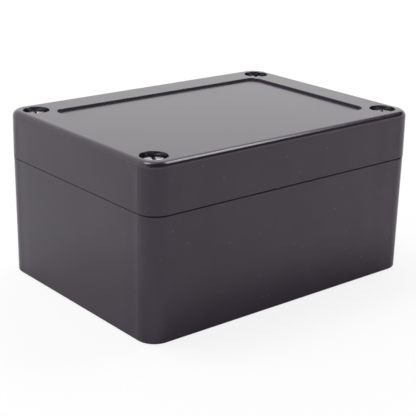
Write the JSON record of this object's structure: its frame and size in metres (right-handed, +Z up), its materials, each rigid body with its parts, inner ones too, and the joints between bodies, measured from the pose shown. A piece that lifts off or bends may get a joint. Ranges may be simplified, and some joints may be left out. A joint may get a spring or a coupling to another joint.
{
  "type": "plastic project box",
  "caption": "Sealed plastic project box: deep base, screwed lid with a recessed panel, rim gasket, brass inserts, and wall mounting holes outside the seal.",
  "frame": {"origin": "on the underside of the base, under the middle of the box, at the height of the surface it stands on", "axes": "+X along the long side, +Y along the short side, +Z up through the lid"},
  "size_m": [0.11, 0.08, 0.056],
  "materials": {
    "housing": "satin moulded ABS, charcoal black",
    "seal": "soft black rubber",
    "insert": "turned and knurled",
    "screw": "bright plated steel"
  },
  "bodies": {
    "base": {"base": "housing", "insert_1": "insert", "insert_2": "insert", "insert_3": "insert", "insert_4": "insert"},
    "lid": {"lid": "housing", "gasket": "seal"},
    "screw_1": {"lid_screw_1": "screw"},
    "screw_2": {"lid_screw_2": "screw"},
    "screw_3": {"lid_screw_3": "screw"},
    "screw_4": {"lid_screw_4": "screw"}
  },
  "joints": [
    {"name": "lid_lift", "type": "slide", "parent": "base", "child": "lid", "axis": [0, 0, 1], "range_m": [0, 0.06]},
    {"name": "screw_1_out", "type": "slide", "parent": "lid", "child": "screw_1", "axis": [0, 0, 1], "range_m": [0, 0.009]},
    {"name": "screw_2_out", "type": "slide", "parent": "lid", "child": "screw_2", "axis": [0, 0, 1], "range_m": [0, 0.009]},
    {"name": "screw_3_out", "type": "slide", "parent": "lid", "child": "screw_3", "axis": [0, 0, 1], "range_m": [0, 0.009]},
    {"name": "screw_4_out", "type": "slide", "parent": "lid", "child": "screw_4", "axis": [0, 0, 1], "range_m": [0, 0.009]}
  ]
}
